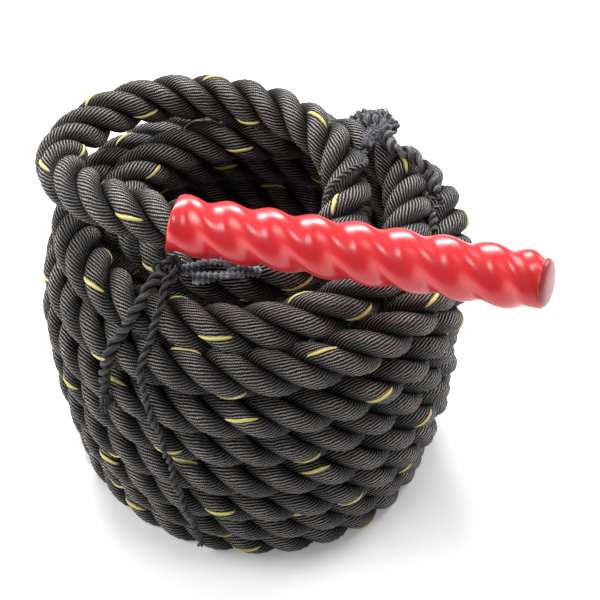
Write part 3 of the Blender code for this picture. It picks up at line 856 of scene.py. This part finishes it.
def turned_cap(name, mouth, way):
    """An end cap turned from its half section, leaning as the sleeve's end does."""
    way = unit(np.array(way))
    end = metres(mouth) + COIL_AXIS + way * SLEEVE_LENGTH
    turn = np.arange(CAP_SIDES) / CAP_SIDES * 2 * np.pi
    facing = Vector(way).to_track_quat("Z", "Y").to_matrix()
    across, up = np.array(facing.col[0]), np.array(facing.col[1])
    directions = np.cos(turn)[:, None] * across + np.sin(turn)[:, None] * up
    rings = []
    for radius, height in CAP_SECTION:
        side = radius * directions
        lean = END_LEAN * (side @ END_FACE + SLEEVE_DIAMETER / 2)
        rings.append(end + side + (height - lean)[:, None] * way)
    return sweep_mesh(name, np.array(rings), run_of(np.array(CAP_SECTION)), cap_red)


top_cap = turned_cap("upper_grip_cap", TOP_MOUTH, TOP_WAY)
bottom_cap = turned_cap("lower_grip_cap", BOTTOM_MOUTH, BOTTOM_WAY)


# The tie cords: plies twisted round a route over the rope

def settled(line, clear):
    """The line pushed out of the rope, so that its cord lies on the strands' crowns."""
    line = line.copy()
    for _ in range(6):
        apart = np.linalg.norm(line[:, None] - centre[None], axis=2)
        near = apart.argmin(axis=1)
        away = apart[np.arange(len(line)), near]
        push = np.clip(clear - away, 0, None)
        line += (line - centre[near]) / away[:, None] * push[:, None]
    kernel = np.array((1.0, 2.0, 3.0, 2.0, 1.0)) / 9
    padded = np.vstack([line[:1]] * 2 + [line] + [line[-1:]] * 2)
    return np.stack([np.convolve(padded[:, k], kernel, "valid") for k in range(3)], 1)


def free_line(route, step):
    """An even line through a route's places."""
    return even(smooth_line(metres(route) + COIL_AXIS, ROUTE_STEP), step)


def tie_line(route, clear, step=CORD_STEP):
    """An even line along a route, pushed out until it is clear of the rope's centre line."""
    return even(settled(free_line(route, 0.002), clear), step)


def cord(name, line, diameter, lay, material, knob_depth=0.0):
    """Two plies twisted round a line, with knobs along them where asked."""
    ply = diameter * PLY_SHARE
    return strands.make(name, line, material, plies=2, points=len(line), sides=PLY_SIDES,
                        step=float(run_of(line)[1]), offset=diameter / 2 - ply, half_height=ply,
                        half_width=ply, lay=lay, phase=0.4, fullness=1.0, end_rounding=3.0,
                        knob_depth=knob_depth, knob_pitch=KNOB_PITCH, press_from=NOT_PRESSED,
                        press_to=NOT_PRESSED)


def knot_line(place, spread, rise, normal, spin):
    """An overhand knot drawn tight: a trefoil, left open by a few steps at each of its ends."""
    turn = 2 * np.pi * np.arange(KNOT_OPEN, KNOT_STEPS - KNOT_OPEN + 1) / KNOT_STEPS
    local = np.stack([spread * (np.sin(turn) + 2 * np.sin(2 * turn)),
                      spread * (np.cos(turn) - 2 * np.cos(2 * turn)), -rise * np.sin(3 * turn)], 1)
    facing = np.array(Vector(normal).normalized().to_track_quat("Z", "Y").to_matrix()
                      @ Matrix.Rotation(spin, 3, "Z"))
    return even(metres(place) + COIL_AXIS + local @ facing.T, CORD_STEP)


def tuft(name, line, material, count, root, spread, crinkle, seed):
    """A bunch of loose fibres along a short line."""
    return fibres.make(name, line, material, fibres=count, points=9, sides=3, length=len(line), root=root,
                       spread=spread, crinkle=crinkle, curl_pitch=16.0, thickness=FIBRE_THICKNESS, seed=seed)


thick_line = tie_line(THICK_TAIL, 0.0226)
thin_line = tie_line(THIN_TAIL, 0.0209)
back_line = tie_line(BACK_RUN, 0.02375)
inner_line = tie_line(INNER_RUN, 0.0196)
front_knot_line = knot_line(FRONT_KNOT, 0.0031, 0.0036, (-0.2, -0.6, 1.0), 0.4)
back_knot_line = knot_line(BACK_KNOT, 0.0030, 0.0024, (0.5, -0.3, 1.0), 0.9)
brush_line = even(thick_line[-1] + metres([(0, 0, 0), (1, -2, -10), (3, -1, -22)]), ROUTE_STEP)

upper_run, lower_run = (
    cord(name, tie_line(route, 0.02225, FINE_STEP), KNOBBY_DIAMETER, 0.070, cord_pale, KNOB_DEPTH)
    for name, route in (("front_tie_upper_cord", UPPER_RUN), ("front_tie_lower_cord", LOWER_RUN)))
thick_tail = cord("front_tie_thick_cord", thick_line, THICK_DIAMETER, 0.020, cord_dark)
thin_tail = cord("front_tie_thin_cord", thin_line, THIN_DIAMETER, 0.018, cord_dark)
back_run = cord("back_tie_cord", back_line, BACK_DIAMETER, 0.020, cord_grey)
back_end = cord("back_tie_end_cord", tie_line(BACK_TAIL, 0.0219), END_DIAMETER, 0.018, cord_grey)
inner_run = cord("inner_tie_cord", inner_line, INNER_DIAMETER, 0.011, cord_grey)
front_knot = cord("front_tie_bend", front_knot_line, 0.0072, 0.014, cord_dark)
back_knot = cord("back_tie_bend", back_knot_line, 0.0050, 0.010, cord_grey)
tail_brush = tuft("front_tie_frayed_end", brush_line, fray_dark, 46, 0.0030, 0.0045, 0.0008, 3)
back_tuft = tuft("back_tie_frayed_end", free_line(TUFT_LINE, ROUTE_STEP), fray_grey, 60,
                 0.0040, 0.0070, 0.0018, 5)
small_tuft = tuft("inner_tie_frayed_end", tie_line(SMALL_TUFT_LINE, 0.0210, ROUTE_STEP), fray_grey, 120,
                  0.0036, 0.0040, 0.0010, 8)
loops = [cord("back_tie_loop_%d" % (k + 1), free_line(route, CORD_STEP), END_DIAMETER, 0.014, cord_grey)
         for k, route in enumerate(TUFT_LOOPS)]


# Floor, light and camera. The camera sees a white room, and a floor that grows white away from the
# object, as on the photograph. The light that the room sheds on the object is dimmer than that.

floor_white = Finish("pale_floor", Roughness=0.9, Emission_Strength=1.0)
seen = floor_white.node("ShaderNodeLightPath")
paper = seen.math("MAXIMUM", seen.other("Is Glossy Ray"))
paper = paper.math("MAXIMUM", seen.other("Is Transmission Ray"))
floor_white.set("Base Color", floor_white.blend(paper, (0.80, 0.80, 0.80), (0.99, 0.99, 1.0)))
# Painted light: away from the object the floor glows to the camera, in reflections and through transmission;
# near the object it keeps its shadow.
far = floor_white.place().vector("LENGTH", output=1).smooth(0.06, 0.26)
floor_white.set("Emission Color", floor_white.blend(paper * far, (0.0, 0.0, 0.0), (0.48, 0.48, 0.485)))
floor_mesh = bpy.data.meshes.new("studio_floor")
shape = bmesh.new()
bmesh.ops.create_grid(shape, x_segments=1, y_segments=1, size=FLOOR_HALF)
shape.to_mesh(floor_mesh)
shape.free()
floor_mesh.materials.append(floor_white.material)
floor = placed("studio_floor", floor_mesh)

world = bpy.data.worlds.new("soft_room")
bpy.context.scene.world = world
world.use_nodes = True
room = Nodes(world.node_tree)
seen = room.node("ShaderNodeLightPath")
paper = seen.math("MAXIMUM", seen.other("Is Transmission Ray"))
background = world.node_tree.nodes["Background"]
background.inputs["Color"].default_value = (1.0, 1.0, 1.0, 1.0)
room.feed(background.inputs["Strength"], paper * (1.0 - ROOM_LIGHT) + ROOM_LIGHT)

for name, place, size, share in LAMPS:
    box = bpy.data.lights.new(name, "AREA")
    box.shape = "RECTANGLE"
    box.size, box.size_y = size
    aim = Vector(LAMP_AIM) - Vector(place)
    box.energy = share * math.pi ** 2 * aim.length_squared
    lamp = placed(name, box)
    lamp.location = place
    lamp.rotation_euler = aim.to_track_quat("-Z", "Y").to_euler()

view = bpy.data.cameras.new("product_view")
view.sensor_width = CAMERA_SENSOR
view.lens = CAMERA_LENS
camera = placed("product_view", view)
camera.matrix_world = (Matrix.Translation(Vector(CAMERA_PLACE) + Vector(COIL_AXIS))
                       @ Matrix.Rotation(math.radians(CAMERA_TILT), 4, "X")
                       @ Matrix.Rotation(math.radians(CAMERA_ROLL), 4, "Z"))
bpy.context.scene.camera = camera
bpy.context.scene.view_settings.view_transform = "Standard"

# What each piece stands for

for piece, slot, nodes in (
        (rope, "rope", ("rope_coil", "rope_top_lead", "rope_bottom_lead")),
        (tracer, "rope", ()),
        (top_grip, "sleeve", ("top_handle_sleeve",)),
        (bottom_grip, "sleeve", ("bottom_handle_sleeve",)),
        (top_cap, "cap", ("top_handle_cap",)),
        (bottom_cap, "cap", ("bottom_handle_cap",)),
        (upper_run, "tie_cord", ("front_tie_upper_run",)),
        (lower_run, "tie_cord", ("front_tie_lower_run",)),
        (thick_tail, "tie_cord", ("front_tie_thick_tail",)),
        (tail_brush, "tie_cord", ()),
        (thin_tail, "tie_cord", ("front_tie_thin_tail",)),
        (front_knot, "tie_cord", ("front_tie_knot",)),
        (back_run, "tie_cord", ("back_tie_run",)),
        (back_tuft, "tie_cord", ("back_tie_tuft",)),
        (back_end, "tie_cord", ("back_tie_tail",)),
        (back_knot, "tie_cord", ("back_tie_knot",)),
        (inner_run, "tie_cord", ("inner_tie_run",)),
        (small_tuft, "tie_cord", ("inner_tie_tuft",)),
        *((loop, "tie_cord", ()) for loop in loops)):
    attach(piece, "root")
    if nodes:
        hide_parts(*nodes)

path_of(centre, 3)
for piece, line, diameter, lay, others in (
        (thick_tail, thick_line, THICK_DIAMETER, "loose", [front_knot, upper_run, lower_run, tail_brush]),
        (thin_tail, thin_line, THIN_DIAMETER, "loose", []),
        (back_run, back_line, BACK_DIAMETER, "loose", [back_knot, back_end, back_tuft, *loops]),
        (inner_run, inner_line, INNER_DIAMETER, "loose", [small_tuft])):
    path_of(line, 4)
